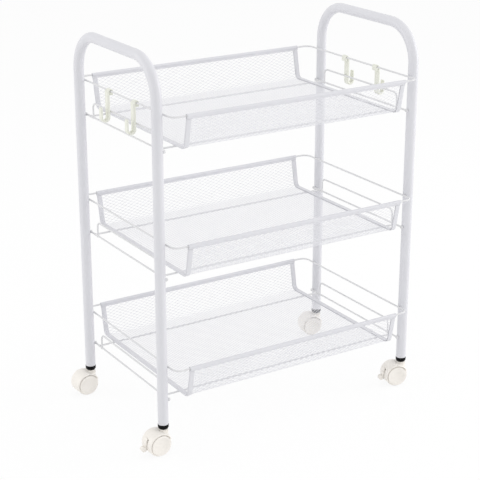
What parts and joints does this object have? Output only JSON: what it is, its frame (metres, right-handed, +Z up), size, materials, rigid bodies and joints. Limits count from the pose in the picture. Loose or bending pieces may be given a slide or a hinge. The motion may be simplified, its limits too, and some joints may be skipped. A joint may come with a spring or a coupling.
{
  "type": "mobile file cart",
  "caption": "White tiered rolling cart with bent-tube end frames, flared mesh trays with bound edges, clip-on hooks and hooded twin-wheel swivel casters, the front ones with brakes.",
  "frame": {"origin": "on the floor under the middle of the cart's outline, with the trailing casters and brakes counted in", "axes": "+Z up, X from one end frame to the other, -Y towards the front, which has the two braked casters"},
  "size_m": [0.5042, 0.2996, 0.61],
  "materials": {
    "powder_coat": "satin",
    "mesh_coat": "satin",
    "caster_plastic": "satin",
    "hook_plastic": "satin",
    "plug_plastic": "gloss",
    "plated_steel": "satin"
  },
  "bodies": {
    "cart_frame": {"left_end_frame": "powder_coat", "right_end_frame": "powder_coat", "bottom_rim_wire": "powder_coat", "bottom_support_frame": "powder_coat", "bottom_mesh_trough": "mesh_coat", "bottom_left_end_binding": "powder_coat", "bottom_right_end_binding": "powder_coat", "bottom_front_rim_binding": "powder_coat", "bottom_back_rim_binding": "powder_coat", "middle_rim_wire": "powder_coat", "middle_support_frame": "powder_coat", "middle_mesh_trough": "mesh_coat", "middle_left_end_binding": "powder_coat", "middle_right_end_binding": "powder_coat", "middle_front_rim_binding": "powder_coat", "middle_back_rim_binding": "powder_coat", "top_rim_wire": "powder_coat", "top_support_frame": "powder_coat", "top_mesh_trough": "mesh_coat", "top_left_end_binding": "powder_coat", "top_right_end_binding": "powder_coat", "top_front_rim_binding": "powder_coat", "top_back_rim_binding": "powder_coat", "front_left_tube_plug": "plug_plastic", "back_left_tube_plug": "plug_plastic", "front_right_tube_plug": "plug_plastic", "back_right_tube_plug": "plug_plastic"},
    "front_left_caster": {"front_left_caster_stem": "plated_steel", "front_left_caster_body": "caster_plastic", "front_left_caster_axle": "plated_steel"},
    "front_left_front_wheel": {"front_left_caster_front_wheel": "caster_plastic"},
    "front_left_back_wheel": {"front_left_caster_back_wheel": "caster_plastic"},
    "front_left_brake": {"front_left_brake_lever": "caster_plastic"},
    "back_left_caster": {"back_left_caster_stem": "plated_steel", "back_left_caster_body": "caster_plastic", "back_left_caster_axle": "plated_steel"},
    "back_left_front_wheel": {"back_left_caster_front_wheel": "caster_plastic"},
    "back_left_back_wheel": {"back_left_caster_back_wheel": "caster_plastic"},
    "front_right_caster": {"front_right_caster_stem": "plated_steel", "front_right_caster_body": "caster_plastic", "front_right_caster_axle": "plated_steel"},
    "front_right_front_wheel": {"front_right_caster_front_wheel": "caster_plastic"},
    "front_right_back_wheel": {"front_right_caster_back_wheel": "caster_plastic"},
    "front_right_brake": {"front_right_brake_lever": "caster_plastic"},
    "back_right_caster": {"back_right_caster_stem": "plated_steel", "back_right_caster_body": "caster_plastic", "back_right_caster_axle": "plated_steel"},
    "back_right_front_wheel": {"back_right_caster_front_wheel": "caster_plastic"},
    "back_right_back_wheel": {"back_right_caster_back_wheel": "caster_plastic"},
    "left_front_hook": {"left_front_hook": "hook_plastic"},
    "left_back_hook": {"left_back_hook": "hook_plastic"},
    "right_front_hook": {"right_front_hook": "hook_plastic"},
    "right_back_hook": {"right_back_hook": "hook_plastic"}
  },
  "joints": [
    {"name": "front_left_swivel", "type": "hinge", "parent": "cart_frame", "child": "front_left_caster", "pos_m": [-0.21315, -0.123, 0.042], "axis": [0, 0, 1], "continuous": true},
    {"name": "front_left_front_wheel_spin", "type": "hinge", "parent": "front_left_caster", "child": "front_left_front_wheel", "pos_m": [-0.22415, -0.123, 0.0186], "axis": [0, 1, 0], "continuous": true},
    {"name": "front_left_back_wheel_spin", "type": "hinge", "parent": "front_left_caster", "child": "front_left_back_wheel", "pos_m": [-0.22415, -0.123, 0.0186], "axis": [0, 1, 0], "continuous": true},
    {"name": "front_left_brake_press", "type": "hinge", "parent": "front_left_caster", "child": "front_left_brake", "pos_m": [-0.23525, -0.123, 0.02792], "axis": [0, -1, 0], "range_deg": [0, 15]},
    {"name": "back_left_swivel", "type": "hinge", "parent": "cart_frame", "child": "back_left_caster", "pos_m": [-0.21315, 0.123, 0.042], "axis": [0, 0, 1], "continuous": true},
    {"name": "back_left_front_wheel_spin", "type": "hinge", "parent": "back_left_caster", "child": "back_left_front_wheel", "pos_m": [-0.22415, 0.123, 0.0186], "axis": [0, 1, 0], "continuous": true},
    {"name": "back_left_back_wheel_spin", "type": "hinge", "parent": "back_left_caster", "child": "back_left_back_wheel", "pos_m": [-0.22415, 0.123, 0.0186], "axis": [0, 1, 0], "continuous": true},
    {"name": "front_right_swivel", "type": "hinge", "parent": "cart_frame", "child": "front_right_caster", "pos_m": [0.24086, -0.123, 0.042], "axis": [0, 0, 1], "continuous": true},
    {"name": "front_right_front_wheel_spin", "type": "hinge", "parent": "front_right_caster", "child": "front_right_front_wheel", "pos_m": [0.23023, -0.12015, 0.0186], "axis": [0.2588, 0.9659, 0], "continuous": true},
    {"name": "front_right_back_wheel_spin", "type": "hinge", "parent": "front_right_caster", "child": "front_right_back_wheel", "pos_m": [0.23023, -0.12015, 0.0186], "axis": [0.2588, 0.9659, 0], "continuous": true},
    {"name": "front_right_brake_press", "type": "hinge", "parent": "front_right_caster", "child": "front_right_brake", "pos_m": [0.2195, -0.11728, 0.02792], "axis": [-0.2588, -0.9659, 0], "range_deg": [0, 15]},
    {"name": "back_right_swivel", "type": "hinge", "parent": "cart_frame", "child": "back_right_caster", "pos_m": [0.24086, 0.123, 0.042], "axis": [0, 0, 1], "continuous": true},
    {"name": "back_right_front_wheel_spin", "type": "hinge", "parent": "back_right_caster", "child": "back_right_front_wheel", "pos_m": [0.23023, 0.12585, 0.0186], "axis": [0.2588, 0.9659, 0], "continuous": true},
    {"name": "back_right_back_wheel_spin", "type": "hinge", "parent": "back_right_caster", "child": "back_right_back_wheel", "pos_m": [0.23023, 0.12585, 0.0186], "axis": [0.2588, 0.9659, 0], "continuous": true},
    {"name": "left_front_hook_slide", "type": "slide", "parent": "cart_frame", "child": "left_front_hook", "axis": [0, 1, 0], "range_m": [-0.06, 0.03]},
    {"name": "left_back_hook_slide", "type": "slide", "parent": "cart_frame", "child": "left_back_hook", "axis": [0, 1, 0], "range_m": [-0.03, 0.06]},
    {"name": "right_front_hook_slide", "type": "slide", "parent": "cart_frame", "child": "right_front_hook", "axis": [0, 1, 0], "range_m": [-0.06, 0.03]},
    {"name": "right_back_hook_slide", "type": "slide", "parent": "cart_frame", "child": "right_back_hook", "axis": [0, 1, 0], "range_m": [-0.03, 0.06]}
  ]
}
